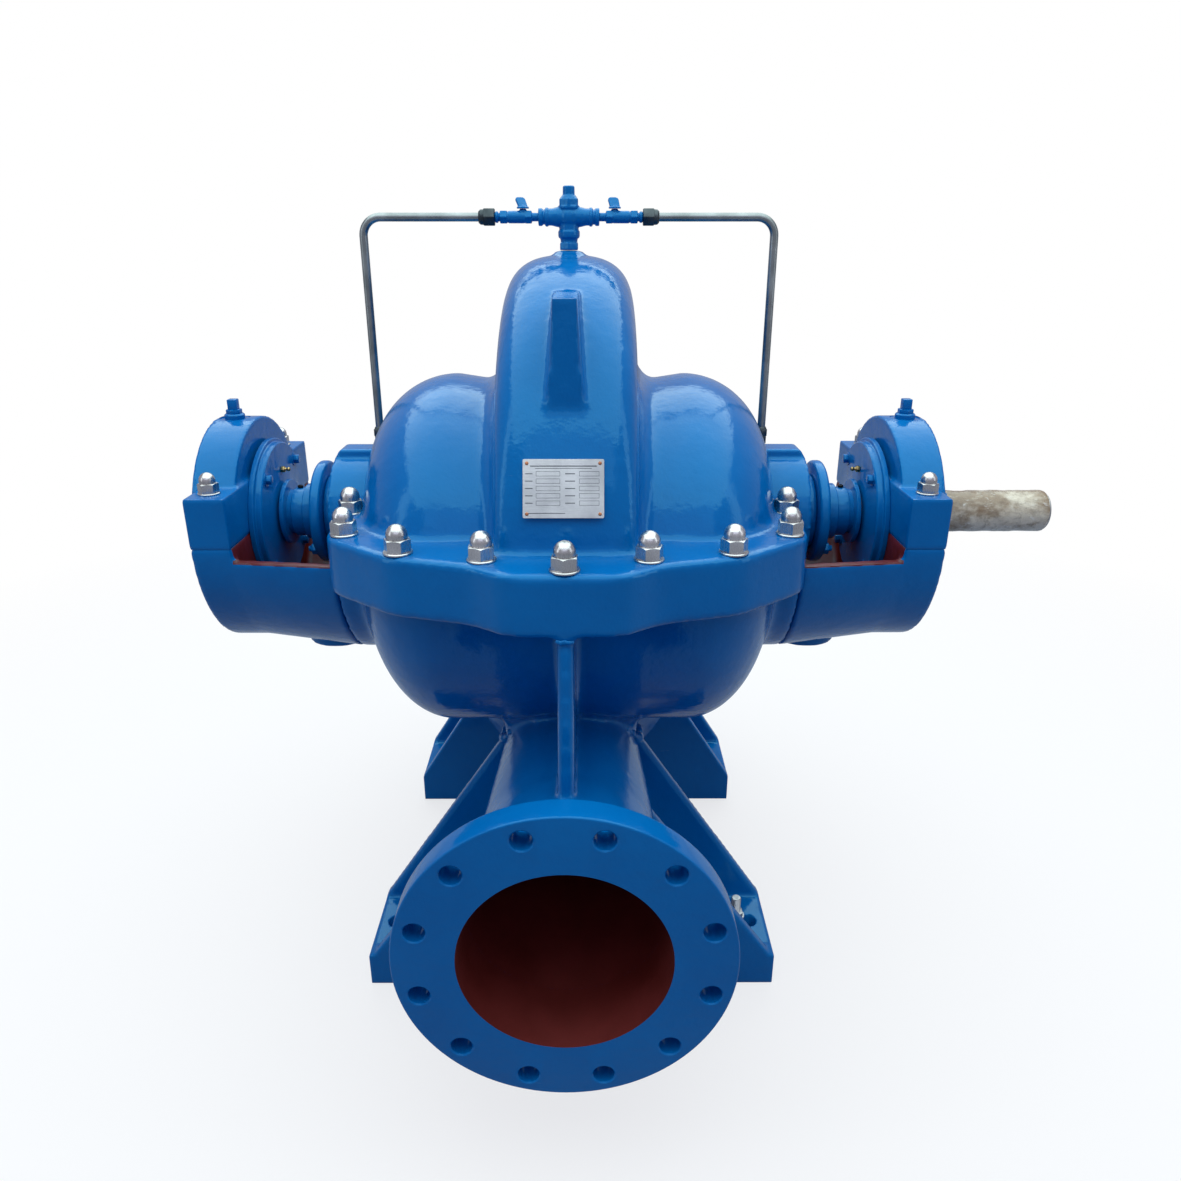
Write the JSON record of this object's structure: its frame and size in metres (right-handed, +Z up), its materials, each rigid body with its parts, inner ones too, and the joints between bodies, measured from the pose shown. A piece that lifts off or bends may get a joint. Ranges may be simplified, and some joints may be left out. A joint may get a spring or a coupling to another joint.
{
  "type": "split case pump",
  "caption": "Horizontal double-suction split case pump with round nozzle flanges front and back, a top flush line, outboard bearings and one free shaft end.",
  "frame": {"origin": "on the floor, at the centre of the four foundation bolt holes", "axes": "+X along the shaft to the drive end, +Y to the suction nozzle, +Z up"},
  "size_m": [1.314, 1.171, 1.2123],
  "materials": {
    "blue_enamel": "gloss blue enamel over iron",
    "stainless_nut": "polished stainless",
    "zinc_stud": "overpainted blue",
    "bearing_steel": "ground",
    "shaft_steel": "turned",
    "brushed_plate": "brushed sheet",
    "dark_fitting": "dull dark plating",
    "tube_steel": "drawn, dull"
  },
  "bodies": {
    "pump": {"lower_casing": "blue_enamel", "upper_casing": "blue_enamel", "discharge_nozzle": "blue_enamel", "suction_nozzle": "blue_enamel", "front_left_foot": "blue_enamel", "front_right_foot": "blue_enamel", "rear_left_foot": "blue_enamel", "rear_right_foot": "blue_enamel", "left_stuffing_box": "blue_enamel", "right_stuffing_box": "blue_enamel", "left_gland": "blue_enamel", "right_gland": "blue_enamel", "gland_studs": "zinc_stud", "left_bearing_bracket": "blue_enamel", "right_bearing_bracket": "blue_enamel", "left_bearing": "bearing_steel", "right_bearing": "bearing_steel", "left_bearing_cap": "blue_enamel", "right_bearing_cap": "blue_enamel", "left_inner_cover": "blue_enamel", "right_inner_cover": "blue_enamel", "left_outer_cover": "blue_enamel", "right_outer_cover": "blue_enamel", "casing_nuts": "stainless_nut", "cap_nuts": "stainless_nut", "cap_plugs": "blue_enamel", "nameplate": "brushed_plate", "cross_fitting": "blue_enamel", "left_valve_body": "blue_enamel", "right_valve_body": "blue_enamel", "left_tube_nut": "dark_fitting", "right_tube_nut": "dark_fitting", "left_flush_tube": "tube_steel", "right_flush_tube": "tube_steel", "left_tube_fitting": "dark_fitting", "right_tube_fitting": "dark_fitting", "foot_bolt": "stainless_nut"},
    "rotor": {"shaft": "shaft_steel", "left_sleeve": "blue_enamel", "right_sleeve": "blue_enamel"},
    "left_lever": {"left_valve_lever": "blue_enamel"},
    "right_lever": {"right_valve_lever": "blue_enamel"}
  },
  "joints": [
    {"name": "rotor_spin", "type": "hinge", "parent": "pump", "child": "rotor", "pos_m": [0, -0.111, 0.738], "axis": [1, 0, 0], "continuous": true},
    {"name": "left_valve_turn", "type": "hinge", "parent": "pump", "child": "left_lever", "pos_m": [-0.066, -0.086, 1.18134], "axis": [0, 0, 1], "range_deg": [0, 90]},
    {"name": "right_valve_turn", "type": "hinge", "parent": "pump", "child": "right_lever", "pos_m": [0.066, -0.086, 1.18134], "axis": [0, 0, 1], "range_deg": [-90, 0]}
  ]
}
